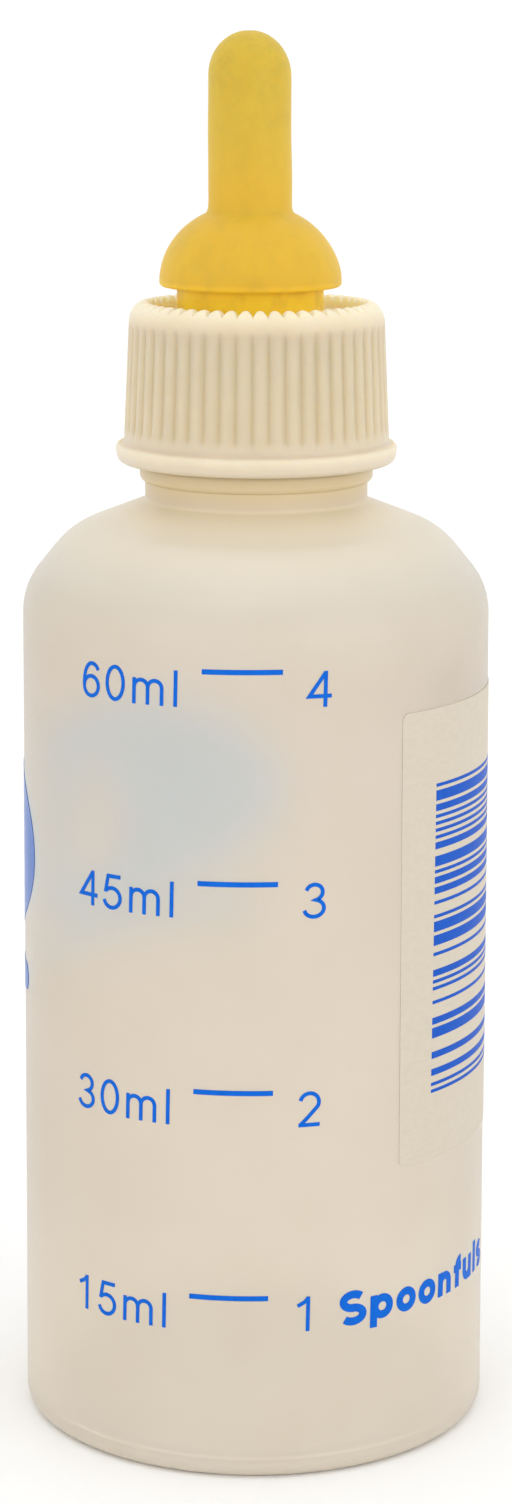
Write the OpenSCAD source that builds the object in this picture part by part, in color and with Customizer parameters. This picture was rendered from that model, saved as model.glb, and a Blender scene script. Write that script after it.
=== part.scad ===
// Small-animal feeding bottle: a 60 ml squeeze bottle, a ribbed screw cap and a latex teat.
// Millimetres. The origin is at the middle of the base, +Z runs up to the teat's tip, and -Y is
// the side that carries the graduations. The barcode label lies on the +X side.

/* [Bottle] */
// Outer diameter of the bottle's body
bottle_d = 36; // [34:0.5:40]
// Height at which the straight side ends and the shoulder begins
side_top = 62.9; // [60:0.1:75]
// Thickness of the side and shoulder
wall = 0.6; // [0.5:0.05:0.9]
// Radius of the rounded edge round the base
base_edge_r = 1.1; // [0.9:0.1:3]
// Height of the hollow pushed up under the base
push_up = 1.2; // [0:0.1:2]
// Width of the flat ring that the bottle stands on
foot_w = 3; // [2:0.5:5]

/* [Neck] */
// Outer diameter at the root of the neck's thread
neck_d = 16.3; // [15.9:0.1:16.5]
// Diameter of the bore through the neck
neck_bore_d = 13; // [11:0.1:13.4]
// Height of the neck's rim above the end of the shoulder
neck_h = 11.55; // [11.5:0.05:12.5]
// Outer diameter of the bead ring and of the thread's crest
thread_d = 17.9; // [17.6:0.1:18]
// Rise of the thread in one turn
pitch = 3.175; // [3:0.005:3.2]
// Length of the thread in turns
turns = 1.5; // [1:0.25:1.5]

/* [Screw cap] */
// Diameter over the ribs just above the lower bead
cap_d = 20.3; // [20.2:0.1:21]
// Diameter over the lower bead
bead_d = 21.6; // [21.3:0.1:23]
// Number of grip ribs
ribs = 50; // [30:1:60]
// Depth of the grooves between the ribs
groove_depth = 0.25; // [0.1:0.05:0.3]
// Lean of the cap's side towards its axis, in degrees
draft = 2.3; // [1:0.1:2.5]
// Depth of the recess in the cap's top
recess_depth = 1.4; // [1:0.1:1.5]

/* [Teat] */
// Diameter of the teat's neck, which passes through the cap
teat_neck_d = 11.2; // [10:0.1:11.4]
// Diameter of the bulb
bulb_d = 13.9; // [13:0.1:14.5]
// Height of the bulb's dome
bulb_h = 6.3; // [5.5:0.1:7]
// Diameter of the shaft
shaft_d = 6.4; // [5:0.1:7]
// Height of the shaft's tip above the bulb's lower edge
shaft_h = 19.4; // [16:0.1:24]
// Thickness of the latex
teat_wall = 1.1; // [0.8:0.1:1.3]
// Diameter of the feed hole in the tip
feed_hole_d = 0.8; // [0.5:0.1:1.2]

/* [Label] */
// Height of the barcode label
label_h = 34.6; // [20:0.1:36]
// Arc of the bottle that the label covers, in degrees
label_arc = 84; // [60:1:120]
// Angle from the front to the label's near edge, in degrees
label_start = 37; // [30:1:60]
// Height of the label's lower edge above the base
label_z = 23; // [10:0.1:24]

/* [Hidden] */

$fn = 96;
eps = 0.01;

// Shoulder: a rounded corner, a cone, a second rounding and a flatter cone up to the neck,
// each tangent to the next. Angles are measured from the vertical.
bottle_r = bottle_d / 2;
neck_r = neck_d / 2;
corner_r = 5.5;
crown_r = 6.5;
corner_angle = 39;
crown_angle = 68.5;
corner_top_r = bottle_r - corner_r * (1 - cos(corner_angle));
corner_top_z = side_top + corner_r * sin(corner_angle);
corner_cone_h = 1.54;
crown_start_r = corner_top_r - corner_cone_h * tan(corner_angle);
crown_start_z = corner_top_z + corner_cone_h;
crown_cx = crown_start_r - crown_r * cos(corner_angle);
crown_cz = crown_start_z - crown_r * sin(corner_angle);
crown_end_r = crown_cx + crown_r * cos(crown_angle);
crown_end_z = crown_cz + crown_r * sin(crown_angle);
shoulder_top = crown_end_z + (crown_end_r - neck_r) / tan(crown_angle);

// Neck finish
rim_z = shoulder_top + neck_h;
rim_edge = 0.3;
bead_ring_z = shoulder_top + 1.0;
bead_ring_h = 1.5;
step_ring_r = neck_r + 0.4;
thread_r = thread_d / 2;
neck_thread_z = shoulder_top + 4.6;
thread_root_w = 1.2;
thread_crest_w = 0.6;
// The ridge's foot lies this far inside the wall, and its ends sink into the wall.
thread_embed = 0.45;
thread_end_sink = 0.15;
thread_lead_in = 30;
thread_steps = 48;
thread_start = 130;
// The cap's thread bears against the underside of the neck's thread.
cap_thread_drop = 1.05;

// Screw cap
seal_gap = 0.05;
flange_t = 1.0;
cap_bottom = shoulder_top + 2.5;
panel_bottom = rim_z + flange_t + 2 * seal_gap;
panel_t = 1.3;
panel_top = panel_bottom + panel_t;
cap_top = panel_top + recess_depth;
cap_r = cap_d / 2;
cap_bore_r = thread_r + 0.2;
cap_thread_r = neck_r + 0.3;
cap_edge_r = 1.2;
recess_r = 8.3;
bead_h = 1.9;
bead_r = bead_d / 2;
side_foot_z = cap_bottom + bead_h + 0.6;
side_top_z = cap_top - cap_edge_r;
side_top_r = cap_r - (side_top_z - side_foot_z) * tan(draft);
hole_clearance = 0.08;
groove_w = 0.5;
notch_w = 0.7;
notch_depth = 0.55;

// Teat
teat_neck_r = teat_neck_d / 2;
flange_r = 7.9;
flange_bottom = rim_z + seal_gap;
flange_top = flange_bottom + flange_t;
bulb_r = bulb_d / 2;
bulb_z = cap_top + 0.85;
bulb_lip_r = 0.5;
shaft_r = shaft_d / 2;
tip_z = bulb_z + shaft_h;
shaft_fillet_r = 0.5;
tip_wall = 1.6;
bore_r = shaft_r - teat_wall;

// Barcode label
label_t = 0.08;
label_gap = 0.01;

// Points along an arc of radius r about [x, z], from angle a to angle b.
function arc(x, z, r, a, b, n = 8) =
    [for (i = [0:n]) let (t = a + (b - a) * i / n) [x + r * cos(t), z + r * sin(t)]];

// Points along a quarter of an ellipse about [0, z], from angle a to angle b.
function ellipse_arc(z, rx, rz, a, b, n = 16) =
    [for (i = [0:n]) let (t = a + (b - a) * i / n) [rx * cos(t), z + rz * sin(t)]];

// The shoulder's outline moved in by t, from the top of the side to the foot of the neck.
function shoulder(t) = concat(
    arc(bottle_r - corner_r, side_top, corner_r - t, 0, corner_angle, 6),
    arc(crown_cx, crown_cz, crown_r - t, corner_angle, crown_angle, 5)
);

// A ridge that climbs round the axis by the right-hand rule, centred on height z where it
// starts. Its crest is at crest_r and its root is at root_r, so it stands inwards where root_r is
// the larger. Its height grows from nothing over thread_lead_in degrees at each end.
module thread(root_r, crest_r, z) {
    outwards = sign(crest_r - root_r);
    foot_r = root_r - outwards * thread_embed;
    span = 360 * turns;
    n = ceil(thread_steps * turns);
    function height(a) =
        (1 + thread_end_sink) * min(1, a / thread_lead_in, (span - a) / thread_lead_in)
        - thread_end_sink;
    function section(a) =
        let (tip_r = root_r + (crest_r - root_r) * height(a))
        [for (p = [[foot_r, -thread_root_w / 2], [tip_r, -thread_crest_w / 2],
                   [tip_r, thread_crest_w / 2], [foot_r, thread_root_w / 2]])
            [p[0] * cos(a), p[0] * sin(a), z + pitch * a / 360 + p[1]]];
    points = [for (i = [0:n]) each section(span * i / n)];
    sides = [for (i = [0:n - 1], k = [0:3])
        let (a = 4 * i + k, b = 4 * i + (k + 1) % 4)
        [a, a + 4, b + 4, b]];
    ends = [[0, 1, 2, 3], [4 * n + 3, 4 * n + 2, 4 * n + 1, 4 * n]];
    walls = concat(sides, ends);
    rotate([0, 0, thread_start])
        polyhedron(points, outwards < 0 ? walls : [for (f = walls) [for (i = [3:-1:0]) f[i]]]);
}

// Outside of the bottle: base edge, straight side, shoulder, neck with its bead ring, and rim.
module bottle_outside() {
    ring_top = bead_ring_z + bead_ring_h;
    rotate_extrude()
        polygon(concat(
            [[0, 0]],
            arc(bottle_r - base_edge_r, base_edge_r, base_edge_r, -90, 0),
            shoulder(0),
            [[neck_r, shoulder_top], [step_ring_r, shoulder_top + 0.2],
             [step_ring_r, bead_ring_z]],
            arc(thread_r - 0.45, bead_ring_z + 0.45, 0.45, -90, 0, 4),
            arc(thread_r - 0.45, ring_top - 0.45, 0.45, 0, 90, 4),
            [[neck_r, ring_top], [neck_r, rim_z - rim_edge], [neck_r - rim_edge, rim_z], [0, rim_z]]
        ));
}

// Hollow of the bottle, from the base up through the neck.
module bottle_inside() {
    floor_z = push_up + 0.9;
    inner_r = bottle_r - wall;
    foot_in = bottle_r - base_edge_r - foot_w;
    rotate_extrude()
        polygon(concat(
            [[0, floor_z], [foot_in - 2, floor_z], [foot_in, 0.9]],
            arc(inner_r - base_edge_r, 0.9 + base_edge_r, base_edge_r, -90, 0),
            shoulder(wall),
            [[neck_bore_d / 2, shoulder_top - 0.7], [neck_bore_d / 2, rim_z + eps],
             [0, rim_z + eps]]
        ));
}

// Shallow hollow under the base, which leaves a flat ring to stand on.
module base_hollow() {
    foot_in = bottle_r - base_edge_r - foot_w;
    translate([0, 0, -eps])
        cylinder(h = push_up + eps, r1 = foot_in, r2 = foot_in - 2);
}

module bottle() {
    color("antiquewhite", 0.8)
        union() {
            difference() {
                bottle_outside();
                bottle_inside();
                base_hollow();
            }
            thread(neck_r, thread_r, neck_thread_z);
        }
}

// Outside of the cap: lower bead, side with its draft, and rounded top edge.
module cap_outside() {
    half_bead = bead_h / 2;
    rotate_extrude()
        polygon(concat(
            [[0, cap_bottom]],
            arc(bead_r - half_bead, cap_bottom + half_bead, half_bead, -90, 60, 8),
            [[cap_r, side_foot_z]],
            arc(side_top_r - cap_edge_r, side_top_z, cap_edge_r, 0, 90, 8),
            [[0, cap_top]]
        ));
}

// One groove up the side, and the notch across the rim that it runs into.
module rib_groove() {
    groove_r = cap_r + groove_w / 2 - groove_depth;
    notch_z = cap_top + notch_w / 2 - notch_depth;
    translate([groove_r, 0, side_foot_z])
        rotate([0, -draft, 0])
            cylinder(h = side_top_z - side_foot_z + 0.4, d = groove_w, $fn = 16);
    translate([recess_r - 1, 0, notch_z])
        rotate([0, 90, 0])
            cylinder(h = side_top_r - recess_r + 1, d = notch_w, $fn = 16);
}

module screw_cap() {
    color("ivory")
        union() {
            difference() {
                cap_outside();
                translate([0, 0, cap_bottom - eps])
                    cylinder(h = panel_bottom - cap_bottom + eps, r = cap_bore_r);
                translate([0, 0, panel_bottom - eps])
                    cylinder(h = panel_t + 2 * eps, r = teat_neck_r + hole_clearance);
                translate([0, 0, panel_top])
                    cylinder(h = recess_depth + eps, r = recess_r);
                for (i = [0:ribs - 1])
                    rotate([0, 0, 360 * (i + 0.5) / ribs])
                        rib_groove();
            }
            thread(cap_bore_r, cap_thread_r, neck_thread_z - cap_thread_drop);
        }
}

// Outside of the teat: flange, neck, bulb with a rounded lip, shaft and round tip.
module teat_outside() {
    dome_end = acos((shaft_r + shaft_fillet_r) / bulb_r);
    rotate_extrude()
        polygon(concat(
            [[0, flange_bottom], [flange_r, flange_bottom], [flange_r, flange_top],
             [teat_neck_r, flange_top], [teat_neck_r, bulb_z]],
            arc(bulb_r - bulb_lip_r, bulb_z + bulb_lip_r, bulb_lip_r, -90, 0, 4),
            ellipse_arc(bulb_z + bulb_lip_r, bulb_r, bulb_h - bulb_lip_r, 0, dome_end, 12),
            [[shaft_r, bulb_z + bulb_h]],
            arc(0, tip_z - shaft_r, shaft_r, 0, 90, 10)
        ));
}

// Hollow of the teat: it follows the outside, one thickness of latex in.
module teat_inside() {
    throat_r = teat_neck_r - teat_wall;
    dome_r = bulb_r - teat_wall - 0.6;
    dome_h = bulb_h - bulb_lip_r - teat_wall;
    dome_end = acos(bore_r / dome_r);
    rotate_extrude()
        polygon(concat(
            [[0, flange_bottom - eps], [throat_r, flange_bottom - eps],
             [throat_r, bulb_z], [dome_r, bulb_z + 1.2]],
            ellipse_arc(bulb_z + 1.2, dome_r, dome_h - 1.2, 0, dome_end, 10),
            arc(0, tip_z - tip_wall - bore_r, bore_r, 0, 90, 8)
        ));
}

module teat() {
    color("goldenrod")
        difference() {
            teat_outside();
            teat_inside();
            translate([0, 0, tip_z - tip_wall - bore_r])
                cylinder(h = tip_wall + bore_r + 1, d = feed_hole_d, $fn = 24);
        }
}

// Thin film label wrapped round the bottle's side.
module barcode_label() {
    color("aliceblue")
        rotate([0, 0, label_start - 90])
            rotate_extrude(angle = label_arc)
                translate([bottle_r + label_gap, label_z])
                    square([label_t, label_h]);
}

bottle();
screw_cap();
teat();
barcode_label();
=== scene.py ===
"""The looks of a small-animal feeding bottle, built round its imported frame.

Sizes are in millimetres until a mesh is made, and angles run from the front (-Y) towards +X, so a
place on the bottle's side is (arc, height): the distance round the side from the front, and z.
"""
import math
import random

import bpy
import numpy as np
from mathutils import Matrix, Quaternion, Vector


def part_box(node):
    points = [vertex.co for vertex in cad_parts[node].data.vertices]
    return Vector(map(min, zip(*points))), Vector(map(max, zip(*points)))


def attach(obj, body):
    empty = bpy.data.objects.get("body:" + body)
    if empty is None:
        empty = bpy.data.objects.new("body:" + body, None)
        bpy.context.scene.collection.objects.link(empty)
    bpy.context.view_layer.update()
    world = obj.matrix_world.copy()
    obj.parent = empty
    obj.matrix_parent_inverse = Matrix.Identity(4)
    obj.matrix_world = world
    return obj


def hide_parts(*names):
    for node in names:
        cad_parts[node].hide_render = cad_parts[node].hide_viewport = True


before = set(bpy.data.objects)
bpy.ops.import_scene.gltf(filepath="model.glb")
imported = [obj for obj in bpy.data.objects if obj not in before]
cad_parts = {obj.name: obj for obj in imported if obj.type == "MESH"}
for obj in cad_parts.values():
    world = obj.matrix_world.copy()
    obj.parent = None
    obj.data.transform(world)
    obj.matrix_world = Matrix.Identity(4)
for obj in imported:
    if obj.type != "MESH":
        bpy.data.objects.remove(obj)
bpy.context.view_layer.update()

MM = 0.001

# ---------------------------------------------------------------- sizes from the frame
_, bottle_high = (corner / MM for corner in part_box("bottle"))
cap_low, cap_high = (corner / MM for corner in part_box("screw_cap"))
teat_low, teat_high = (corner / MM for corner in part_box("teat"))
label_low, label_high = (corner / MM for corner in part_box("barcode_label"))

BOTTLE_R = bottle_high.y
RIM_Z = bottle_high.z
CAP_BOTTOM = cap_low.z
CAP_TOP = cap_high.z
BEAD_R = cap_high.y
FLANGE_R = teat_high.y
FLANGE_Z = teat_low.z
TIP_Z = teat_high.z
LABEL_R = label_high.x

# ---------------------------------------------------------------- sizes of the bottle
# The wall's skin lies just inside the frame's, which leaves room for the ink and the film on it.
SKIN = 0.03
WALL = 0.6
UNEVENNESS = 0.012
SIDE_R = BOTTLE_R - SKIN
SIDE_TOP = 62.9
BASE_EDGE_R = 1.1
PUSH_UP = 1.2
# The base is thicker than the side, and its hollow ends at the flat ring that the bottle stands on.
BASE_T = 0.9
FOOT_IN = 13.9
CORNER_R = 5.5
CORNER_ANGLE = 39
CONE_H = 1.54
CROWN_R = 6.5
CROWN_ANGLE = 68.5
NECK_R = 8.15
NECK_BORE_R = 6.5
SHOULDER_TOP = 71.71
# The ring's top reaches just inside the cap, so that no gap shows between them.
RING_Z = 73.0
RING_H = 1.5
RING_EDGE_R = 0.5
RIM_EDGE_R = 0.35
BORE_EDGE_R = 0.25
STEP_R = 8.55
THREAD_R = 8.95

# Thread shared by the neck and the cap: rise per turn, length in turns, widths and run-in.
PITCH = 3.175
TURNS = 1.5
THREAD_START = 220
THREAD_ROOT_W = 1.2
THREAD_CREST_W = 0.6
THREAD_RUN_IN = 30
NECK_THREAD_Z = 76.31
CAP_THREAD_Z = NECK_THREAD_Z - 1.05

# ---------------------------------------------------------------- sizes of the cap
# The moulding's rounded ends stop a little inside the frame's cap.
RIBS = 50
RIB_PHASE = 1.7
GROOVE = 0.18
NOTCH = 0.52
BEAD_BOTTOM = CAP_BOTTOM + 0.25
BEAD_TOP = CAP_BOTTOM + 1.72
SIDE_FOOT_R = 10.15
SIDE_FOOT_Z = CAP_BOTTOM + 2.5
CREST_R = 8.5
CREST_Z = CAP_TOP - 0.3
CORNER_W = 1.3
CORNER_H = 1.7
CORNER_Z = CREST_Z - CORNER_H
RECESS_R = 8.3
RECESS_DEPTH = 1.4
PANEL_T = 1.3
HOLE_R = 5.68
HOLE_EDGE_R = 0.15
CAP_BORE_R = 9.15
CAP_THREAD_R = 8.45

# ---------------------------------------------------------------- sizes of the teat
TEAT_NECK_R = 5.6
FLANGE_T = 1.0
BULB_R = 6.95
BULB_Z = 87.91
BULB_H = 6.3
SHAFT_R = 3.2
THROAT_R = 4.5
BORE_R = 2.1
FEED_HOLE_R = 0.4
TIP_WALL = 1.6
TIP_H = 3.4
TEAT_EDGE_R = 0.2
BULB_LIP_R = 0.32
# The tip stands aside by LEAN. BEND_SHARE of it comes in the neck, between the two bend heights,
# and the rest comes bit by bit from DRIFT_START up to the tip.
LEAN = 0.60
BEND_START = 85.68
BEND_END = 86.4
BEND_SHARE = 0.85
DRIFT_START = 88

# ---------------------------------------------------------------- sizes of the print
INK_R = BOTTLE_R - 0.006
INK_T = 0.08
# Overlapping strokes differ in radius by this hair, so that their faces don't fight.
STROKE_GAP = 0.0007
FIGURE_H = 2.69
PEN = 0.29
TRACKING = 0.087
# Each row's arcs: the end of its volume, the two ends of its line and the start of its count.
VOLUME_END = -5.9
LINE_START = -3.95
LINE_END = 1.98
LINE_PEN = 0.38
COUNT_START = 3.75
TOP_LINE_Z = 61.4
LINE_STEP = 15.76
ROW_ML = 15
# The clear part of a letter's width beside its last stroke, as a share of its height.
SIDE_GAP = 0.15
# The printing leans: its columns drift to the right going up, and its rows rise to the right.
COLUMN_LEAN = 0.0197
ROW_RISE = 0.008
# The label's film lies inside the frame's label, with room for its bars.
FILM_R = LABEL_R - 0.075
FILM_T = 0.05


# ================================================================ geometry
def arc(r, z, rx, rz, start, end, n=8):
    """Points on an ellipse's arc about (r, z), from angle start to angle end in degrees."""
    angles = np.radians(np.linspace(start, end, n + 1))
    return [(r + rx * math.cos(t), z + rz * math.sin(t)) for t in angles]


def fillet(r, z, radius, start, end, n):
    """Points on a round edge about (r, z), from angle start to angle end in degrees."""
    return arc(r, z, radius, radius, start, end, n)


def line(a, b, n):
    """n points from a to b, without b itself."""
    return [tuple(np.array(a) + (np.array(b) - np.array(a)) * i / n) for i in range(n)]


def smooth_step(value, low, high):
    """0 below low, 1 above high, and a smooth turn between them."""
    t = np.clip((value - low) / (high - low), 0, 1)
    return t * t * (3 - 2 * t)


def round_the_axis(r, t, z):
    """Corner points of a surface given by radius, angle from the front and height."""
    return np.stack(np.broadcast_arrays(r * np.sin(t), -r * np.cos(t), z), axis=-1)


def make_piece(name, points, faces, material, body, slot, node=None, sharp=40):
    """Makes a smooth-shaded mesh from points in millimetres, and lets it ride on a body."""
    mesh = bpy.data.meshes.new(name)
    mesh.from_pydata([tuple(p) for p in np.asarray(points, float) * MM], [], faces)
    mesh.materials.append(material)
    mesh.shade_smooth()
    mesh.set_sharp_from_angle(angle=math.radians(sharp))
    piece = bpy.data.objects.new(name, mesh)
    bpy.context.scene.collection.objects.link(piece)
    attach(piece, body)
    if node:
        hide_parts(node)
    return piece


def grid_faces(rows, columns, wrap_rows=False, wrap_columns=True):
    """Quads between neighbouring points of a grid whose points are stored row by row."""
    faces = []
    for i in range(rows if wrap_rows else rows - 1):
        below = (i + 1) % rows * columns
        for j in range(columns if wrap_columns else columns - 1):
            k = (j + 1) % columns
            faces.append((i * columns + j, i * columns + k, below + k, below + j))
    return faces


def revolve(outline, segments, shape=None):
    """Points and faces of an outline turned round the axis. Its points go round the material
    anticlockwise. An outline that starts on the axis also ends there, and is closed by two fans,
    and any other outline is joined end to start. shape moves the grid's radii and heights."""
    outline = np.array(outline, float)
    capped = outline[0, 0] == 0
    if capped:
        first_z, last_z = outline[0, 1], outline[-1, 1]
        outline = outline[1:-1]
    t = np.linspace(0, 2 * math.pi, segments, endpoint=False)[None, :]
    r = np.repeat(outline[:, :1], segments, axis=1)
    z = np.repeat(outline[:, 1:2], segments, axis=1)
    points = shape(r, t, z) if shape else round_the_axis(r, t, z)
    rows = len(outline)
    faces = grid_faces(rows, segments, wrap_rows=not capped)
    points = points.reshape(-1, 3)
    if capped:
        low, high = len(points), len(points) + 1
        points = np.vstack([points, [[0, 0, first_z], [0, 0, last_z]]])
        last = (rows - 1) * segments
        for j in range(segments):
            k = (j + 1) % segments
            faces.append((low, k, j))
            faces.append((high, last + j, last + k))
    return points, faces


def thread_height(t, z, start_z):
    """How much of the thread's full depth stands at each angle and height, from 0 to 1."""
    run = np.degrees(t) - THREAD_START
    height = np.zeros(np.broadcast(t, z).shape)
    for turn in range(-1, 2):
        a = run + 360 * turn
        inside = np.clip(np.minimum(a, 360 * TURNS - a) / THREAD_RUN_IN, 0, 1)
        off = np.abs(z - (start_z + PITCH * a / 360))
        slope = (THREAD_ROOT_W - THREAD_CREST_W) / 2
        height = np.maximum(height, inside * np.clip((THREAD_ROOT_W / 2 - off) / slope, 0, 1))
    return height


# ---------------------------------------------------------------- bottle
def shoulder(inset):
    """The shoulder's outline, moved in by inset: corner, cone and crown, up to the neck."""
    corner = fillet(SIDE_R - CORNER_R, SIDE_TOP, CORNER_R - inset, 0, CORNER_ANGLE, 16)
    angle = math.radians(CORNER_ANGLE)
    cone_r = SIDE_R - CORNER_R * (1 - math.cos(angle)) - CONE_H * math.tan(angle)
    cone_z = SIDE_TOP + CORNER_R * math.sin(angle) + CONE_H
    crown_r = cone_r - CROWN_R * math.cos(angle)
    crown_z = cone_z - CROWN_R * math.sin(angle)
    crown = fillet(crown_r, crown_z, CROWN_R - inset, CORNER_ANGLE, CROWN_ANGLE, 12)
    return corner + crown


def bottle_outlines():
    """Half section of the bottle, as its outside from the base's middle up to the rim, and its
    inside back down."""
    ring_top = RING_Z + RING_H
    inner_r = SIDE_R - WALL
    foot_r = SIDE_R - BASE_EDGE_R
    neck_foot = [(NECK_R + 0.55, SHOULDER_TOP - 0.22), (NECK_R + 0.42, SHOULDER_TOP - 0.02)]
    outside = (
        [(0, PUSH_UP), (4, PUSH_UP), (8, PUSH_UP)]
        + fillet(FOOT_IN - 2.6, PUSH_UP - 0.8, 0.8, 90, 40, 6)
        + fillet(FOOT_IN + 0.3, 0.5, 0.5, 220, 270, 5)
        + line((FOOT_IN + 0.8, 0), (foot_r, 0), 3)
        + fillet(foot_r, BASE_EDGE_R, BASE_EDGE_R, -90, 0, 10)
        + line((SIDE_R, BASE_EDGE_R + 1), (SIDE_R, SIDE_TOP), 40)
        + shoulder(0)
        + neck_foot
        + [(STEP_R, SHOULDER_TOP + 0.25), (STEP_R, RING_Z - 0.12)]
        + fillet(THREAD_R - RING_EDGE_R, RING_Z + RING_EDGE_R, RING_EDGE_R, -80, 0, 6)
        + fillet(THREAD_R - RING_EDGE_R, ring_top - RING_EDGE_R, RING_EDGE_R, 0, 80, 6)
        + [(NECK_R + 0.1, ring_top + 0.02)]
        + line((NECK_R, ring_top + 0.15), (NECK_R, RIM_Z - 0.4), 68)
        + fillet(NECK_R - RIM_EDGE_R, RIM_Z - RIM_EDGE_R, RIM_EDGE_R, 0, 90, 4)
    )
    inside = (
        fillet(NECK_BORE_R + BORE_EDGE_R, RIM_Z - BORE_EDGE_R, BORE_EDGE_R, 90, 180, 4)
        + line((NECK_BORE_R, RIM_Z - 1), (NECK_BORE_R, SHOULDER_TOP - 0.6), 4)
        + [(NECK_BORE_R + 0.15, SHOULDER_TOP - 0.75)]
        + shoulder(WALL)[::-1]
        + line((inner_r, SIDE_TOP - 1), (inner_r, 3), 30)
        + fillet(inner_r - BASE_EDGE_R, BASE_T + BASE_EDGE_R, BASE_EDGE_R, 0, -90, 8)
        + [(FOOT_IN + 0.5, BASE_T)]
        + line((FOOT_IN - 0.6, 1.1), (FOOT_IN - 2.2, PUSH_UP + 0.85), 4)
        + [(8, PUSH_UP + BASE_T), (4, PUSH_UP + BASE_T), (0, PUSH_UP + BASE_T)]
    )
    return outside, inside


def bottle_shape(r, t, z):
    """Adds the neck's thread, and the slight unevenness of a blown wall below the neck."""
    on_neck = (np.abs(r - NECK_R) < 0.01) & (z > RING_Z)
    r = r + np.where(on_neck, (THREAD_R - NECK_R) * thread_height(t, z, NECK_THREAD_Z), 0)
    blown = smooth_step(z, 1, 6) * (1 - smooth_step(z, 66, 71)) * (r > NECK_R + 1)
    wave = np.sin(2 * t + 0.07 * z + 0.6) + np.sin(5 * t - 0.11 * z) + np.sin(3 * t + 0.31 * z + 2)
    r = r - UNEVENNESS * blown * (1 + wave / 3)
    return round_the_axis(r, t, z)


def make_bottle(skin, inner_skin):
    """The bottle has a milky outer face and a clear inner face."""
    segments = 256
    outside, inside = bottle_outlines()
    points, faces = revolve(outside + inside, segments, bottle_shape)
    piece = make_piece("bottle_shell", points, faces, skin, "bottle", "bottle", "bottle")
    piece.data.materials.append(inner_skin)
    last_outside = (len(outside) - 1) * segments
    # The last faces are the two fans on the axis, which take turns: one outside, one inside.
    ends = len(faces) - 2 * segments
    for polygon in piece.data.polygons:
        in_end = polygon.index >= ends
        inner = (polygon.index - ends) % 2 if in_end else polygon.index >= last_outside
        polygon.material_index = int(inner)


# ---------------------------------------------------------------- cap
def cap_outline():
    """Half section of the cap: up its outside, over the rim, into the recess and down the bore."""
    panel_top = CAP_TOP - RECESS_DEPTH
    panel_bottom = panel_top - PANEL_T
    return (
        arc(BEAD_R - 0.7, BEAD_BOTTOM + 0.55, 0.6, 0.55, -90, -10, 6)
        + arc(BEAD_R - 0.35, BEAD_TOP - 0.4, 0.35, 0.4, -5, 80, 7)
        + arc(SIDE_FOOT_R + 0.38, BEAD_TOP + 0.33, 0.36, 0.4, 262, 185, 5)
        + line((SIDE_FOOT_R, SIDE_FOOT_Z), (CREST_R + CORNER_W, CORNER_Z), 18)
        + arc(CREST_R, CORNER_Z, CORNER_W, CORNER_H, 0, 90, 18)
        + line((CREST_R - 0.02, CREST_Z), (RECESS_R, CREST_Z - 0.12), 1)
        + line((RECESS_R, CREST_Z - 0.12), (RECESS_R, panel_top + 0.2), 8)
        + fillet(RECESS_R - 0.2, panel_top + 0.2, 0.2, 0, -90, 4)
        + line((RECESS_R - 0.6, panel_top), (HOLE_R + 0.4, panel_top), 4)
        + fillet(HOLE_R + HOLE_EDGE_R, panel_top - HOLE_EDGE_R, HOLE_EDGE_R, 90, 180, 4)
        + fillet(HOLE_R + HOLE_EDGE_R, panel_bottom + HOLE_EDGE_R, HOLE_EDGE_R, 180, 270, 4)
        + line((HOLE_R + 0.5, panel_bottom), (CAP_BORE_R - 0.3, panel_bottom), 3)
        + fillet(CAP_BORE_R - 0.2, panel_bottom - 0.2, 0.2, 90, 0, 3)
        + line((CAP_BORE_R, panel_bottom - 0.4), (CAP_BORE_R, BEAD_BOTTOM + 0.3), 62)
        + [(CAP_BORE_R, BEAD_BOTTOM + 0.2), (CAP_BORE_R + 0.2, BEAD_BOTTOM)]
    )


def cap_shape(r, t, z):
    """Adds the ribs round the side, the teeth they end in round the rim, and the bore's thread."""
    across = np.mod(RIBS * (t - math.radians(RIB_PHASE)) + math.pi, 2 * math.pi) - math.pi
    dip = 1 - np.cos(across / 2)
    ribbed = smooth_step(z, SIDE_FOOT_Z - 0.2, SIDE_FOOT_Z + 0.7)
    ribbed = ribbed * (1 - smooth_step(z, CORNER_Z - 0.6, CORNER_Z + 0.5)) * (r > CAP_BORE_R + 0.4)
    in_bore = np.abs(r - CAP_BORE_R) < 0.01
    turn = np.where(in_bore, thread_height(t, z, CAP_THREAD_Z), 0)
    teeth_z = np.where(r > RECESS_R - 0.01, CREST_Z - NOTCH * dip**1.3, z)
    r = r - GROOVE * ribbed * dip + (CAP_THREAD_R - CAP_BORE_R) * turn
    return round_the_axis(r, t, np.minimum(z, teeth_z))


def make_cap(material):
    """The cap, with twelve steps round to each rib, so that the grooves come out round."""
    points, faces = revolve(cap_outline(), RIBS * 12, cap_shape)
    make_piece("cap_shell", points, faces, material, "cap", "cap", "screw_cap", sharp=60)


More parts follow.
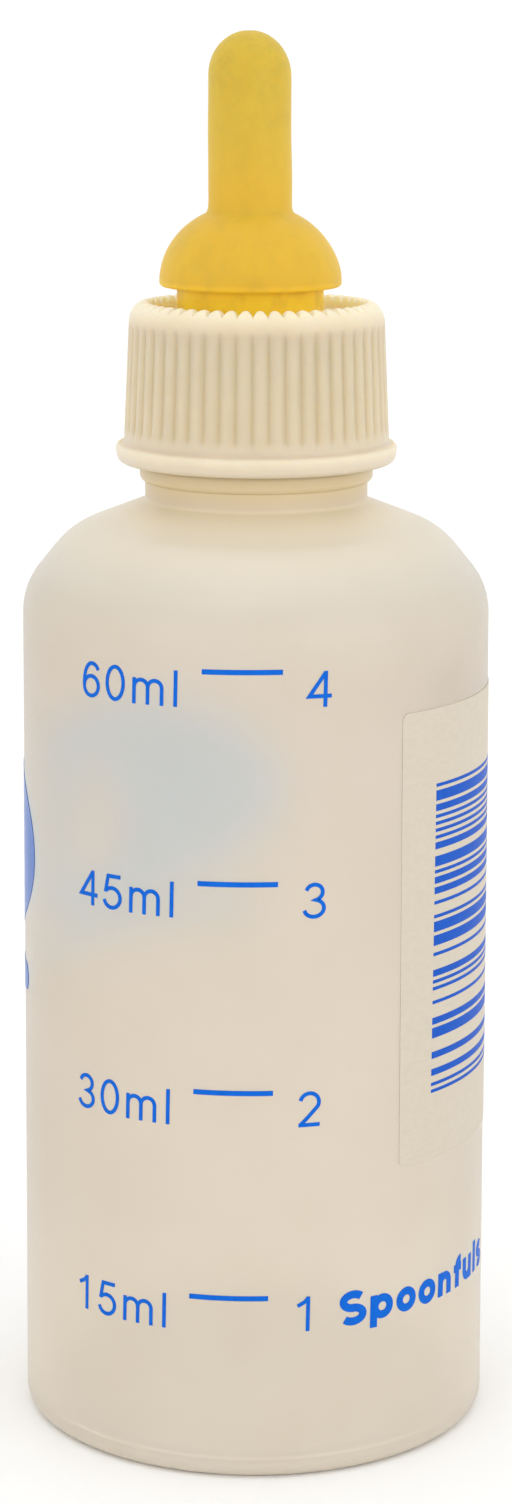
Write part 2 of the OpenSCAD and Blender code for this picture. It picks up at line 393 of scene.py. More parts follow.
# ---------------------------------------------------------------- teat
def teat_outline():
    """Half section of the teat: flange, neck, bulb and shaft outside, then the hollow inside."""
    flange_top = FLANGE_Z + FLANGE_T
    dome_z = BULB_Z + 0.5
    dome_end = math.degrees(math.acos((SHAFT_R + 0.2) / BULB_R))
    shaft_foot = BULB_Z + BULB_H
    tip_r = SHAFT_R - 0.02
    tip_z = TIP_Z - TIP_H
    bore_top = TIP_Z - TIP_WALL - BORE_R
    outside = (
        fillet(FLANGE_R - TEAT_EDGE_R, FLANGE_Z + TEAT_EDGE_R, TEAT_EDGE_R, -90, 0, 4)
        + fillet(FLANGE_R - TEAT_EDGE_R, flange_top - TEAT_EDGE_R, TEAT_EDGE_R, 0, 90, 4)
        + line((FLANGE_R - 0.6, flange_top), (TEAT_NECK_R + 0.3, flange_top), 3)
        + fillet(TEAT_NECK_R + TEAT_EDGE_R, flange_top + TEAT_EDGE_R, TEAT_EDGE_R, 270, 180, 3)
        + line((TEAT_NECK_R, flange_top + 0.5), (TEAT_NECK_R, BULB_Z - 0.3), 8)
        + fillet(TEAT_NECK_R + 0.25, BULB_Z - 0.25, 0.25, 180, 95, 4)
        + fillet(BULB_R - BULB_LIP_R, BULB_Z + BULB_LIP_R, BULB_LIP_R, -90, -12, 6)
        + arc(0, dome_z, BULB_R, BULB_H - 0.5, 0, dome_end, 22)
        + [(SHAFT_R + 0.07, shaft_foot - 0.58), (SHAFT_R, shaft_foot - 0.3)]
        + line((SHAFT_R - 0.03, shaft_foot + 0.3), (tip_r - 0.02, tip_z - 2), 12)
        + line((tip_r - 0.02, tip_z - 2), (tip_r, tip_z), 3)
        + arc(0, tip_z, tip_r, TIP_H, 0, 82, 16)
        + fillet(FEED_HOLE_R + 0.05, TIP_Z - 0.1, 0.05, 90, 180, 2)
    )
    inner_dome_r = BULB_R - 1.7
    inner_end = math.degrees(math.acos(BORE_R / inner_dome_r))
    hollow_end = math.degrees(math.acos(FEED_HOLE_R / BORE_R))
    inside = (
        line((FEED_HOLE_R, TIP_Z - 0.3), (FEED_HOLE_R, bore_top + BORE_R + 0.1), 4)
        + fillet(0, bore_top, BORE_R, hollow_end, 0, 8)
        + line((BORE_R, bore_top - 1), (BORE_R, shaft_foot - 0.5), 8)
        + arc(0, BULB_Z + 1.2, inner_dome_r, BULB_H - 2.8, inner_end, 0, 12)
        + [(THROAT_R + 0.3, BULB_Z + 0.4)]
        + line((THROAT_R, BULB_Z), (THROAT_R, FLANGE_Z + 0.1), 6)
        + [(THROAT_R + 0.1, FLANGE_Z)]
    )
    return outside + inside


def teat_shape(r, t, z):
    """Soft latex is never quite round: its shaft waves a little, and it stands a little aside."""
    firm_below, soft_above = 85.8, 90
    soft = smooth_step(z, firm_below, soft_above)
    wave = np.sin(2 * t + 0.5 * z) + 0.7 * np.sin(3 * t - 0.83 * z + 1) + 0.5 * np.sin(0.9 * z + 4)
    r = r * (1 + 0.007 * soft * wave)
    points = round_the_axis(r, t, z)
    bend = smooth_step(z, BEND_START, BEND_END)
    drift = smooth_step(z, DRIFT_START, TIP_Z)
    points[..., 0] -= LEAN * (BEND_SHARE * bend + (1 - BEND_SHARE) * drift)
    return points


def make_teat(material):
    """The teat, with its hollow and its feed hole."""
    points, faces = revolve(teat_outline(), 144, teat_shape)
    make_piece("teat_latex", points, faces, material, "teat", "teat", "teat")


# ---------------------------------------------------------------- films and ink
def on_side(arc_mm, z, radius):
    """Places points given as (arc, height) on a cylinder of that radius."""
    return round_the_axis(radius, np.asarray(arc_mm, float) / BOTTLE_R, np.asarray(z, float))


def sheet_solid(places, rows, columns, outer_r, thickness, ring=False):
    """A thin closed solid on the bottle's side, from a grid of (arc, height) places. The last row
    of a ring meets its first row."""
    places = np.asarray(places, float).reshape(-1, 2)
    outer = on_side(places[:, 0], places[:, 1], outer_r)
    inner = on_side(places[:, 0], places[:, 1], outer_r - thickness)
    count = rows * columns
    front = grid_faces(rows, columns, wrap_rows=ring, wrap_columns=False)
    back = [tuple(v + count for v in face[::-1]) for face in front]
    first = [i * columns for i in range(rows)][::-1]
    last = [i * columns + columns - 1 for i in range(rows)]
    if ring:
        edges = [first, last]
    else:
        top = list(range(columns))
        bottom = [(rows - 1) * columns + j for j in range(columns)][::-1]
        edges = [top[:-1] + last[:-1] + bottom[:-1] + first[:-1]]
    rim = []
    for edge in edges:
        rim += [(b, a, a + count, b + count) for a, b in zip(edge, edge[1:] + edge[:1])]
    return np.vstack([outer, inner]), front + back + rim


def merge(parts):
    """Joins several (points, faces) pairs into one."""
    points, faces = [], []
    for part_points, part_faces in parts:
        faces += [tuple(v + len(points) for v in face) for face in part_faces]
        points += [tuple(p) for p in part_points]
    return points, faces


def ribbon(stroke, pen):
    """Both edges of a pen line of the given width along a stroke, with mitred corners."""
    path = np.array(stroke, float)
    steps = np.diff(path, axis=0)
    steps /= np.linalg.norm(steps, axis=1)[:, None]
    # A closed stroke's first and last points share one corner.
    closed = np.allclose(path[0], path[-1])
    before = np.vstack([steps[-1:] if closed else steps[:1], steps])
    after = np.vstack([steps, steps[:1] if closed else steps[-1:]])
    sides = before + after
    sides /= np.linalg.norm(sides, axis=1)[:, None]
    normals = np.stack([-sides[:, 1], sides[:, 0]], axis=1)
    widen = 1 / np.clip(np.sum(normals * np.stack([-after[:, 1], after[:, 0]], axis=1), axis=1), 0.4, 1)
    offset = normals * (widen * pen / 2)[:, None]
    return np.stack([path + offset, path - offset], axis=1)


def subdivide(stroke, longest=0.6):
    """The same stroke with no step longer than the given length, so that it bends round the side."""
    points = [stroke[0]]
    for a, b in zip(stroke, stroke[1:]):
        steps = max(1, math.ceil(math.dist(a, b) / longest))
        points += [tuple(np.array(a) + (np.array(b) - np.array(a)) * i / steps) for i in range(1, steps + 1)]
    return points


def lean_print(place):
    """Moves a place in the print with the lean of its columns and rows."""
    across, z = place
    return across + COLUMN_LEAN * (z - TOP_LINE_Z), z + ROW_RISE * across


def ink_stroke(stroke, pen, order, outer_r=INK_R, leans=True):
    """The solid of one inked stroke. order keeps overlapping strokes a hair apart in radius."""
    edges = ribbon(subdivide(stroke), pen)
    places = [lean_print(p) if leans else tuple(p) for pair in edges for p in pair]
    return sheet_solid(places, len(edges), 2, outer_r - STROKE_GAP * (order % 6), INK_T)


# Letters are strokes in units of a figure's height, from the baseline, with the width to the next.
def light_figures():
    """Figures and letters of the graduations, drawn with a thin pen."""
    bowl_2 = arc(0.37, 0.69, 0.265, 0.258, 168, -28, 12)
    bowl_5 = arc(0.375, 0.325, 0.285, 0.28, 132, -165, 14)
    hook_6 = arc(0.40, 0.73, 0.25, 0.225, 12, 90, 6) + arc(0.405, 0.40, 0.29, 0.555, 90, 190, 10)[1:]
    arch = arc(0.365, 0.47, 0.212, 0.205, 180, 0, 10)
    arch_right = [(x + 0.424, z) for x, z in arch]
    return {
        "0": ([arc(0.388, 0.5, 0.275, 0.452, 90, 450, 28)], 0.777),
        "1": ([[(0.47, 0), (0.47, 0.99)], [(0.48, 0.97), (0.38, 0.85), (0.17, 0.735)]], 0.777),
        "2": ([bowl_2 + [(0.34, 0.28), (0.12, 0.058)], [(0.07, 0.054), (0.67, 0.054)]], 0.777),
        "3": ([arc(0.36, 0.735, 0.235, 0.217, 165, -85, 12)
               + arc(0.36, 0.288, 0.28, 0.236, 90, -168, 14)[1:]], 0.777),
        "4": ([[(0.535, 0), (0.535, 0.985)], [(0.53, 0.95), (0.08, 0.30), (0.71, 0.30)]], 0.777),
        "5": ([[(0.66, 0.935), (0.235, 0.935), (0.145, 0.475)], bowl_5], 0.777),
        "6": ([hook_6, arc(0.39, 0.322, 0.27, 0.275, 90, 450, 24)], 0.777),
        "m": ([[(0.153, 0), (0.153, 0.724)], arch + [(0.577, 0)], arch_right + [(1.001, 0)]], 1.164),
        "l": ([[(0.151, 0), (0.151, 1)]], 0.31),
    }


def bold_letters():
    """Letters of the unit word, drawn with a thick pen."""
    arch = arc(0.40, 0.40, 0.23, 0.225, 180, 0, 10)
    bowl_u = arc(0.40, 0.35, 0.23, 0.225, 180, 360, 10)
    big_s = arc(0.49, 0.71, 0.33, 0.215, 38, 268, 14) + arc(0.49, 0.29, 0.34, 0.215, 88, -142, 14)
    small_s = arc(0.38, 0.53, 0.23, 0.155, 38, 268, 12) + arc(0.38, 0.225, 0.24, 0.155, 88, -142, 12)
    round_o = arc(0.42, 0.375, 0.27, 0.265, 90, 450, 24)
    return {
        "S": ([big_s], 0.98),
        "p": ([[(0.17, -0.25), (0.17, 0.75)], [(x + 0.06, z) for x, z in round_o]], 0.93),
        "o": ([round_o], 0.86),
        "n": ([[(0.17, 0), (0.17, 0.75)], arch + [(0.63, 0)]], 0.86),
        "f": ([[(0.25, 0), (0.25, 0.68)] + arc(0.46, 0.68, 0.21, 0.2, 180, 85, 6)[1:],
               [(0.04, 0.62), (0.52, 0.62)]], 0.56),
        "u": ([[(0.17, 0.75)] + bowl_u, [(0.63, 0.75), (0.63, 0)]], 0.86),
        "l": ([[(0.17, 0), (0.17, 1)]], 0.40),
        "s": ([small_s], 0.76),
    }


def text_width(text, alphabet, height, tracking):
    """Length of a line of text, from the first letter's origin to the end of the last letter."""
    return height * (sum(alphabet[c][1] for c in text) + tracking * (len(text) - 1))


def lettering(text, alphabet, start, baseline, height, pen, tracking):
    """Solids of a line of text that starts at an arc, on a baseline."""
    parts = []
    x = start
    for character in text:
        strokes, width = alphabet[character]
        for stroke in strokes:
            placed = [(x + height * u, baseline + height * v) for u, v in stroke]
            parts.append(ink_stroke(placed, pen, len(parts)))
        x += height * (width + tracking)
    return parts


def seen_through_the_wall(piece, material):
    """Gives a print's faces that lie against the bottle's wall their own material."""
    piece.data.materials.append(material)
    for polygon in piece.data.polygons:
        x, y, _ = polygon.center
        outward = (polygon.normal.x * x + polygon.normal.y * y) / math.hypot(x, y)
        if outward < -0.5:
            polygon.material_index = 1


def make_graduations(ink, underside):
    """Four lines with their volumes on the left and their counts on the right."""
    figures = light_figures()
    for row, count in enumerate((4, 3, 2, 1)):
        volume = f"{ROW_ML * count}ml"
        z = TOP_LINE_Z - LINE_STEP * row
        baseline = z - FIGURE_H
        left = VOLUME_END - text_width(volume, figures, FIGURE_H, TRACKING) + SIDE_GAP * FIGURE_H
        parts = [ink_stroke([(LINE_START, z), (LINE_END, z)], LINE_PEN, 0)]
        parts += lettering(volume, figures, left, baseline, FIGURE_H, PEN, TRACKING)
        parts += lettering(str(count), figures, COUNT_START, baseline, FIGURE_H, PEN, 0)
        piece = make_piece(f"graduation_{volume}", *merge(parts), ink, "bottle", "bottle")
        seen_through_the_wall(piece, underside)


def make_unit_word(ink, underside):
    """The counts' unit, in bold letters beside the lowest graduation."""
    start, height, pen, tracking = 7.4, 2.47, 0.60, 0.06
    baseline = TOP_LINE_Z - 3 * LINE_STEP - FIGURE_H + 0.1
    parts = lettering("Spoonfuls", bold_letters(), start, baseline, height, pen, tracking)
    piece = make_piece("unit_word", *merge(parts), ink, "bottle", "bottle")
    seen_through_the_wall(piece, underside)


def badge_edge(t, half_w, half_h, power):
    """Point on a rounded oblong at angle t."""
    c, s = math.cos(t), math.sin(t)
    return (
        half_w * math.copysign(abs(c) ** (2 / power), c),
        half_h * math.copysign(abs(s) ** (2 / power), s),
    )


def drop_edge(t, half_w, half_h):
    """Point on a drop at angle t, with its tip up."""
    turn = math.pi / 2 - t
    return half_w * math.sin(turn) * abs(math.sin(turn / 2)) ** 1.4 * 1.3, half_h * math.cos(turn)


def badge_plate(centre_arc):
    """A plain oblong with a milk drop left out of it."""
    centre_z = 44.7
    half_w, half_h, power = 18.6, 8.5, 2.1
    drop_w, drop_h = 3.6, 6.0
    rings, around = 12, 144
    places = []
    for j in range(around):
        t = 2 * math.pi * j / around
        outer = np.array(badge_edge(t, half_w, half_h, power))
        inner = np.array(drop_edge(t, drop_w, drop_h))
        for i in range(rings):
            x, z = inner + (outer - inner) * i / (rings - 1)
            places.append((centre_arc + x, centre_z + z))
    return sheet_solid(places, around, rings, INK_R, INK_T, ring=True)


def badge_bar(centre_arc):
    """A bar with round ends, whose rows crowd together towards the ends."""
    centre_z = 34.6
    half_w, half_h, tip_h = 16.3, 1.1, 0.02
    rows = 121
    places = []
    for turn in np.linspace(-math.pi / 2, math.pi / 2, rows):
        x = half_w * math.sin(turn)
        into_end = max(0, abs(x) - half_w + half_h) / half_h
        z = tip_h + half_h * math.sqrt(1 - min(1, into_end) ** 2)
        places += [(centre_arc + x, centre_z + z), (centre_arc + x, centre_z - z)]
    return sheet_solid(places, rows, 2, INK_R, INK_T)


def make_badge(ink, underside):
    """A made-up mark: an oblong with a drop, over a bar."""
    centre_arc = -40.4
    points, faces = merge([badge_plate(centre_arc), badge_bar(centre_arc)])
    piece = make_piece("badge", points, faces, ink, "bottle", "bottle")
    seen_through_the_wall(piece, underside)


def make_label_film(material):
    """The film, with rounded corners."""
    low = math.degrees(math.acos(-label_low.y / LABEL_R))
    high = math.degrees(math.acos(-label_high.y / LABEL_R))
    start, end = (math.radians(a) * BOTTLE_R for a in (low, high))
    corner = 0.6
    columns = 48
    edge = [corner * (1 - math.cos(math.radians(a))) for a in range(0, 91, 15)]
    heights = [label_low.z + e for e in edge]
    straight = label_high.z - label_low.z - 2 * corner
    heights += [label_low.z + corner + straight * i / 24 for i in range(1, 24)]
    heights += [label_high.z - e for e in edge[::-1]]
    places = []
    for z in heights:
        into_corner = max(0, corner - min(z - label_low.z, label_high.z - z))
        inset = corner - math.sqrt(max(0, corner**2 - into_corner**2))
        a, b = start + inset, end - inset
        places += [(a + (b - a) * j / (columns - 1), z) for j in range(columns)]
    points, faces = sheet_solid(places, len(heights), columns, FILM_R, FILM_T)
    make_piece("label_film", points, faces, material, "bottle", "label", "barcode_label", sharp=30)


def bar_widths(modules):
    """Made-up widths of bars and gaps in turn, in modules. The first and the last are bars."""
    dice = random.Random(5)
    widths = [1, 1, 1]
    while sum(widths) < modules - 4:
        next_is_gap = len(widths) % 2
        widths.append(dice.choice((1, 1, 1, 2, 2, 3, 4) if next_is_gap else (1, 1, 2, 2, 3)))
    if len(widths) % 2 == 0:
        widths.pop()
    return widths + [1, 1]


def make_label_bars(ink):
    """A row of bars that stands for no number. It leans a little on the film."""
    module, modules, lean = 0.264, 95, 0.013
    first_arc, bar_length, bars_low = 14.9, 18.3, 28.1
    bars = []
    z = bars_low
    for i, width in enumerate(bar_widths(modules)):
        if i % 2 == 0:
            middle = z + width * module / 2
            left = first_arc + lean * (middle - bars_low)
            ends = [(left, middle), (left + bar_length, middle)]
            bars.append(ink_stroke(ends, width * module, 0, FILM_R + 0.008, leans=False))
        z += width * module
    make_piece("label_bars", *merge(bars), ink, "bottle", "label")


# ================================================================ materials
def start_material(name):
    """An empty material: its node tree, its shader and its coordinates in millimetres."""
    material = bpy.data.materials.new(name)
    material.use_nodes = True
    tree = material.node_tree
    shader = tree.nodes["Principled BSDF"]
    coordinates = tree.nodes.new("ShaderNodeTexCoord")
    scale = tree.nodes.new("ShaderNodeMapping")
    scale.inputs["Scale"].default_value = (1 / MM, 1 / MM, 1 / MM)
    tree.links.new(coordinates.outputs["Object"], scale.inputs["Vector"])
    return material, tree, shader, scale.outputs["Vector"]


def set_values(shader, **values):
    """Sets the shader's own sockets. A name's underscores stand for spaces."""
    for name, value in values.items():
        shader.inputs[name.replace("_", " ")].default_value = value


def noise(tree, place, size, detail=3, rough=0.55, stretch=None):
    """Cloudy pattern whose patches are about size millimetres across."""
    if stretch:
        mapping = tree.nodes.new("ShaderNodeMapping")
        mapping.inputs["Scale"].default_value = stretch
        tree.links.new(place, mapping.inputs["Vector"])
        place = mapping.outputs["Vector"]
    pattern = tree.nodes.new("ShaderNodeTexNoise")
    pattern.inputs["Scale"].default_value = 1 / size
    pattern.inputs["Detail"].default_value = detail
    pattern.inputs["Roughness"].default_value = rough
    tree.links.new(place, pattern.inputs["Vector"])
    return pattern.outputs["Fac"]


def height_of(tree, place):
    """The height in millimetres."""
    split = tree.nodes.new("ShaderNodeSeparateXYZ")
    tree.links.new(place, split.inputs["Vector"])
    return split.outputs["Z"]


def radius_of(tree, place):
    """The distance from the bottle's axis in millimetres."""
    flat = tree.nodes.new("ShaderNodeVectorMath")
    flat.operation = "MULTIPLY"
    flat.inputs[1].default_value = (1, 1, 0)
    tree.links.new(place, flat.inputs[0])
    length = tree.nodes.new("ShaderNodeVectorMath")
    length.operation = "LENGTH"
    tree.links.new(flat.outputs["Vector"], length.inputs[0])
    return length.outputs["Value"]


def calculate(tree, operation, one, other):
    """One operation on the values of two sockets."""
    node = tree.nodes.new("ShaderNodeMath")
    node.operation = operation
    tree.links.new(one, node.inputs[0])
    tree.links.new(other, node.inputs[1])
    return node.outputs["Value"]


def ramp(tree, value, stops, low=0.0, high=1.0):
    """Colour ramp over a value that runs from low to high. stops are (value, colour)."""
    spread = tree.nodes.new("ShaderNodeMapRange")
    spread.inputs["From Min"].default_value = low
    spread.inputs["From Max"].default_value = high
    tree.links.new(value, spread.inputs["Value"])
    colours = tree.nodes.new("ShaderNodeValToRGB")
    elements = colours.color_ramp.elements
    while len(elements) < len(stops):
        elements.new(0.5)
    for element, (at, colour) in zip(elements, stops):
        element.position = (at - low) / (high - low)
        element.color = (*colour, 1)
    tree.links.new(spread.outputs["Result"], colours.inputs["Fac"])
    return colours.outputs["Color"]


def blend_colours(tree, share, one, other, mode="MIX"):
    """Mixes two colours, each a socket or three numbers, by a socket's value."""
    mix = tree.nodes.new("ShaderNodeMix")
    mix.data_type = "RGBA"
    mix.blend_type = mode
    tree.links.new(share, mix.inputs["Factor"])
    colour_sockets = [socket for socket in mix.inputs if socket.type == "RGBA"]
    for socket, colour in zip(colour_sockets, (one, other)):
        if isinstance(colour, bpy.types.NodeSocket):
            tree.links.new(colour, socket)
        else:
            socket.default_value = (*colour, 1)
    return next(socket for socket in mix.outputs if socket.type == "RGBA")


def contrast(tree, value, low, high, out_low=0.0, out_high=1.0):
    """Spreads a value from low..high to out_low..out_high."""
    spread = tree.nodes.new("ShaderNodeMapRange")
    for name, number in zip(("From Min", "From Max", "To Min", "To Max"), (low, high, out_low, out_high)):
        spread.inputs[name].default_value = number
    tree.links.new(value, spread.inputs["Value"])
    return spread.outputs["Result"]


def vary_roughness(tree, shader, grain, low, high):
    """Lets a fine grain move the roughness between low and high."""
    tree.links.new(contrast(tree, grain, 0.3, 0.7, low, high), shader.inputs["Roughness"])


def add_bump(tree, shader, layers):
    """Stacks bumps. Each layer is a value, its height in millimetres."""
    normal = None
    for value, height in layers:
        bump = tree.nodes.new("ShaderNodeBump")
        bump.inputs["Distance"].default_value = height * MM
        tree.links.new(value, bump.inputs["Height"])
        if normal:
            tree.links.new(normal, bump.inputs["Normal"])
        normal = bump.outputs["Normal"]
    tree.links.new(normal, shader.inputs["Normal"])


def bottle_plastic():
    """Milky squeeze plastic: warm, waxy, yellower where it is thick at the neck. Its tone is also painted
    lighter towards the base and at the foot of the neck, as painted light where the floor and the cap shade
    it.
    """
    material, tree, shader, place = start_material("milky_plastic")
    # Painted light: the tone is lighter towards the base and at the foot of the neck, where the floor and
    # the cap cast shade.
    tone_and_painted_light = ramp(
        tree,
        height_of(tree, place),
        [(0, (0.98, 0.87, 0.72)), (6, (0.95, 0.84, 0.69)), (20, (0.84, 0.735, 0.605)),
         (60, (0.81, 0.70, 0.58)), (64, (0.82, 0.73, 0.60)), (67, (0.79, 0.725, 0.61)),
         (70, (0.81, 0.725, 0.575)), (71.5, (0.84, 0.716, 0.50)), (71.9, (0.715, 0.585, 0.41)),
         (73, (0.75, 0.60, 0.36)), (84, (0.74, 0.60, 0.36))],
        0, 84,
    )
    clouds = contrast(tree, noise(tree, place, 9, 2), 0.35, 0.65)
    colour = blend_colours(tree, clouds, tone_and_painted_light, (0.98, 0.975, 0.96), "MULTIPLY")
    tree.links.new(colour, shader.inputs["Base Color"])
    see_through = contrast(tree, height_of(tree, place), 65, 71, 0.42, 0.12)
    tree.links.new(see_through, shader.inputs["Transmission Weight"])
    grain = noise(tree, place, 0.35, 2)
    vary_roughness(tree, shader, grain, 0.30, 0.38)
    add_bump(tree, shader, [(noise(tree, place, 6, 2), 0.05), (grain, 0.006)])
    set_values(shader, IOR=1.5, Specular_IOR_Level=0.45)
    return material


def bottle_inside():
    """The wall's inner face, which lets the light on into the wall."""
    material, tree, shader, place = start_material("clear_inner_face")
    tree.links.new(
        ramp(tree, noise(tree, place, 7, 2), [(0.3, (0.98, 0.97, 0.95)), (0.7, (1, 0.99, 0.97))]),
        shader.inputs["Base Color"],
    )
    add_bump(tree, shader, [(noise(tree, place, 5, 2), 0.03)])
    set_values(shader, IOR=1.5, Transmission_Weight=1.0, Roughness=0.12)
    return material


def depth_in_groove(tree, place):
    """How deep a place lies in a groove of the cap's side, from 0 on a rib to 1 at the bottom."""
    height = height_of(tree, place)
    side_r = contrast(tree, height, SIDE_FOOT_Z, CORNER_Z, SIDE_FOOT_R, CREST_R + CORNER_W)
    depth = calculate(tree, "SUBTRACT", side_r, radius_of(tree, place))
    below_corner = contrast(tree, height, CORNER_Z, CORNER_Z - 1, 0, 1)
    return calculate(tree, "MULTIPLY", contrast(tree, depth, 0.1 * GROOVE, 0.8 * GROOVE), below_corner)


def cap_plastic():
    """Satin moulded ivory. Its tone is painted lighter on the bead and at the rim's teeth, as painted
    highlights where light falls, and darker on the bead's underside, as painted shade.
    """
    material, tree, shader, place = start_material("ivory_plastic")
    # Painted light and shade: lighter on the bead and at the crest, where light falls on them, and darker
    # under the bead.
    tone_and_painted_light = ramp(
        tree,
        height_of(tree, place),
        [(BEAD_BOTTOM, (0.61, 0.535, 0.425)), (BEAD_BOTTOM + 0.9, (0.70, 0.62, 0.50)),
         (BEAD_TOP, (0.71, 0.615, 0.46)), (BEAD_TOP + 1.2, (0.64, 0.535, 0.38)),
         (CREST_Z - 1.9, (0.62, 0.51, 0.36)), (CREST_Z - 0.8, (0.74, 0.66, 0.49)),
         (CREST_Z, (0.82, 0.74, 0.56))],
        CAP_BOTTOM, CREST_Z,
    )
    # Painted light: the recess is painted paler, against the shade that the rim and the bulb cast into it.
    recess_mask_for_painted_light = contrast(tree, radius_of(tree, place), RECESS_R + 0.3, RECESS_R - 0.1)
    tone_and_painted_light = blend_colours(tree, recess_mask_for_painted_light, tone_and_painted_light, (0.90, 0.82, 0.60))
    # Painted shade: the grooves are tinted warmer and a little darker than the ribs.
    tone_and_painted_light = blend_colours(tree, depth_in_groove(tree, place), tone_and_painted_light, (0.99, 0.96, 0.84), "MULTIPLY")
    clouds = contrast(tree, noise(tree, place, 3, 3), 0.35, 0.65)
    colour = blend_colours(tree, clouds, tone_and_painted_light, (0.97, 0.965, 0.95), "MULTIPLY")
    tree.links.new(colour, shader.inputs["Base Color"])
    grain = noise(tree, place, 0.12, 2)
    vary_roughness(tree, shader, grain, 0.38, 0.48)
    add_bump(tree, shader, [(noise(tree, place, 1.5, 2), 0.02), (grain, 0.004)])
    set_values(shader, IOR=1.5, Subsurface_Weight=0.9, Subsurface_Radius=(1.0, 0.8, 0.45),
               Subsurface_Scale=2.2 * MM)
    return material


def teat_latex():
    """Amber latex: orange in the bulb and neck, paler and mottled along the shaft. The neck is painted much
    lighter than the bulb, as painted light where it is shaded between the bulb and the cap.
    """
    material, tree, shader, place = start_material("amber_latex")
    # Painted light: the neck below the bulb is painted lighter, to make up for the shade between the bulb
    # and the cap.
    tone_and_painted_light = ramp(
        tree,
        height_of(tree, place),
        [(83, (1.0, 0.66, 0.03)), (87.5, (1.0, 0.64, 0.035)), (88.5, (0.69, 0.435, 0.033)),
         (95, (0.68, 0.43, 0.037)), (99, (0.64, 0.435, 0.045)), (107, (0.61, 0.435, 0.045))],
        83, 108,
    )
    mottle = contrast(tree, noise(tree, place, 1.6, 4, 0.6, (1, 1, 0.6)), 0.45, 1.0)
    colour = blend_colours(tree, mottle, tone_and_painted_light, (0.58, 0.38, 0.04))
    near_tip = contrast(tree, height_of(tree, place), TIP_Z - 9, TIP_Z - 3, 0, 0.7)
    blots = contrast(tree, noise(tree, place, 1.1, 4, 0.65), 0.42, 0.68)
    colour = blend_colours(tree, calculate(tree, "MULTIPLY", near_tip, blots), colour, (0.50, 0.37, 0.045))
    tree.links.new(colour, shader.inputs["Base Color"])
    grain = noise(tree, place, 0.3, 3)
    vary_roughness(tree, shader, grain, 0.40, 0.52)
    add_bump(tree, shader, [(noise(tree, place, 2.2, 3), 0.04), (grain, 0.008)])
    set_values(shader, IOR=1.52, Subsurface_Weight=0.6, Subsurface_Radius=(1.6, 0.8, 0.2),
               Subsurface_Scale=1.0 * MM, Specular_IOR_Level=0.2)
    return material


def blue_ink(name, colour, faded, bloom):
    """Screen-printed ink, a little uneven in its density, with a pale bloom when seen aslant."""
    material, tree, shader, place = start_material(name)
    patches = contrast(tree, noise(tree, place, 0.5, 4, 0.65), 0.35, 0.75)
    tree.links.new(blend_colours(tree, patches, colour, faded), shader.inputs["Base Color"])
    grain = noise(tree, place, 0.12, 2)
    vary_roughness(tree, shader, grain, 0.5, 0.65)
    add_bump(tree, shader, [(grain, 0.004)])
    set_values(shader, IOR=1.5, Specular_IOR_Level=0.06, Sheen_Weight=bloom, Sheen_Roughness=0.35)
    return material


def ink_from_inside():
    """The print as it shows through the wall, with a painted glow: its pale colour and its emission stand in
    for the daylight that comes through the ink.
    """
    material, tree, shader, place = start_material("ink_underside_glow")
    patches = contrast(tree, noise(tree, place, 3, 3), 0.35, 0.7)
    # Painted glow: this pale cyan colour stands in for daylight coming through the ink.
    colour = blend_colours(tree, patches, (0.03, 0.79, 0.95), (0.07, 0.83, 0.96))
    tree.links.new(colour, shader.inputs["Base Color"])
    add_bump(tree, shader, [(noise(tree, place, 0.4, 2), 0.004)])
    # Painted glow: the emission stands in for daylight coming through the ink.
    set_values(shader, Roughness=0.6, Emission_Color=(0.04, 0.48, 1.0, 1), Emission_Strength=0.37)
    return material


def label_film():
    """Thin matt film: a paper-like grain, a little lighter than the bottle."""
    material, tree, shader, place = start_material("label_film")
    fibres = contrast(tree, noise(tree, place, 0.8, 4, 0.6, (1, 1, 2.5)), 0.35, 0.7)
    colour = blend_colours(tree, fibres, (0.71, 0.63, 0.51), (0.675, 0.595, 0.475))
    tree.links.new(colour, shader.inputs["Base Color"])
    grain = noise(tree, place, 0.2, 2)
    vary_roughness(tree, shader, grain, 0.45, 0.58)
    add_bump(tree, shader, [(grain, 0.005)])
    set_values(shader, IOR=1.48, Transmission_Weight=0.15)
    return material


def floor_paint():
    """Pale studio floor."""
    material, tree, shader, place = start_material("studio_floor")
    clouds = contrast(tree, noise(tree, place, 60, 2), 0.3, 0.7)
    colour = blend_colours(tree, clouds, (0.965, 0.965, 0.96), (0.975, 0.975, 0.97))
    tree.links.new(colour, shader.inputs["Base Color"])
    set_values(shader, Roughness=0.7, Specular_IOR_Level=0.1)
    return material


# ================================================================ studio
def make_floor():
    """A round floor that fades into the pale world around it."""
    radii = np.array([60, 200, 600, 1500, 4000], float)
    sides = 96
    t = np.linspace(0, 2 * math.pi, sides, endpoint=False)[None, :]
    points = round_the_axis(radii[:, None], t, 0.0).reshape(-1, 3)
    faces = [face[::-1] for face in grid_faces(len(radii), sides)] + [tuple(range(sides))]
    mesh = bpy.data.meshes.new("floor")
    mesh.from_pydata([tuple(p) for p in points * MM], [], faces)
    mesh.materials.append(floor_paint())
    mesh.shade_smooth()
    floor = bpy.data.objects.new("floor", mesh)
    bpy.context.scene.collection.objects.link(floor)


def make_light(name, place, aim, size, watts):
    """A soft square white light at a place, aimed at a point, both in metres."""
    data = bpy.data.lights.new(name, "AREA")
    data.size = size
    data.energy = watts
    light = bpy.data.objects.new(name, data)
    light.location = place
    light.rotation_euler = (Vector(aim) - Vector(place)).to_track_quat("-Z", "Y").to_euler()
    bpy.context.scene.collection.objects.link(light)


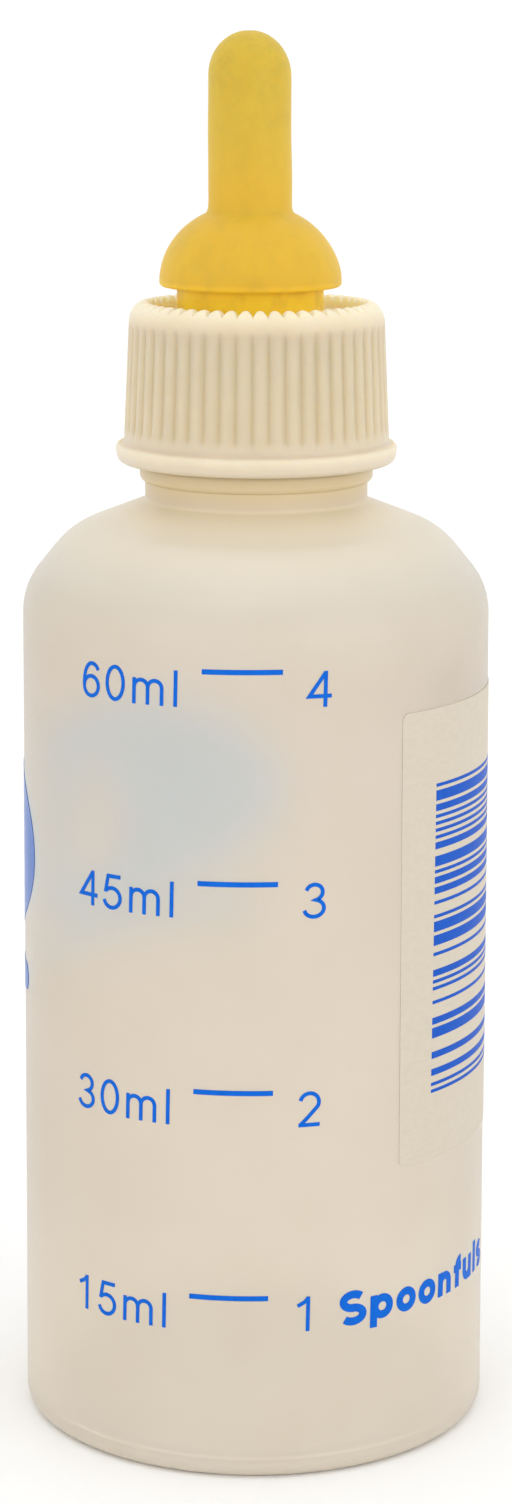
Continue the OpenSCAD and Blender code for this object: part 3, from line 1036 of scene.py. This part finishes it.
def make_world():
    """An even white surround."""
    world = bpy.data.worlds.new("studio")
    world.use_nodes = True
    background = world.node_tree.nodes["Background"]
    background.inputs["Color"].default_value = (1, 1, 1, 1)
    background.inputs["Strength"].default_value = 1.05
    bpy.context.scene.world = world


def make_camera():
    """Close camera that looks down on the bottle a little, framed by shifting the picture. It
    stands at a distance and a height in metres, and tilts by angles in degrees."""
    data = bpy.data.cameras.new("camera")
    data.sensor_width = 36
    data.lens = 84.84
    data.shift_x = -0.0002
    data.shift_y = -0.1776
    data.dof.use_dof = False
    data.clip_start = 0.01
    camera = bpy.data.objects.new("camera", data)
    pitch, roll = 8.04, -0.163
    distance, height = 0.2699, 0.1107
    camera.location = (0, -distance, height)
    camera.rotation_mode = "QUATERNION"
    forward = Vector((0, math.cos(math.radians(pitch)), -math.sin(math.radians(pitch))))
    turned = forward.to_track_quat("-Z", "Y")
    turned.rotate(Quaternion(forward, math.radians(roll)))
    camera.rotation_quaternion = turned
    bpy.context.scene.collection.objects.link(camera)
    bpy.context.scene.camera = camera


# ================================================================ the model
print_ink = blue_ink("print_ink", (0.003, 0.11, 0.57), (0.005, 0.145, 0.64), 0.15)
# The badge's ink is a copy of the print ink, painted darker and greyer, with more sheen, so that it looks as
# the ink does where light grazes it at the bottle's edge.
badge_ink_greyed_for_grazing_light = blue_ink("badge_ink_greyed_for_grazing_light", (0.010, 0.10, 0.42), (0.015, 0.125, 0.48), 0.6)
ink_underside_glow = ink_from_inside()
bar_ink = blue_ink("bar_ink", (0.008, 0.085, 0.47), (0.014, 0.105, 0.54), 0.15)

make_bottle(bottle_plastic(), bottle_inside())
make_cap(cap_plastic())
make_teat(teat_latex())
make_graduations(print_ink, ink_underside_glow)
make_unit_word(print_ink, ink_underside_glow)
make_badge(badge_ink_greyed_for_grazing_light, ink_underside_glow)
make_label_film(label_film())
make_label_bars(bar_ink)

make_floor()
make_world()
make_light("key", (0.70, -0.70, 0.20), (0, 0, 0.05), 0.8, 1.6)
make_light("fill", (-0.70, -0.70, 0.15), (0, 0, 0.04), 0.8, 0.9)
make_light("top", (0, -0.20, 0.90), (0, 0, 0.05), 0.6, 0.5)
make_camera()
bpy.context.scene.view_settings.view_transform = "Standard"
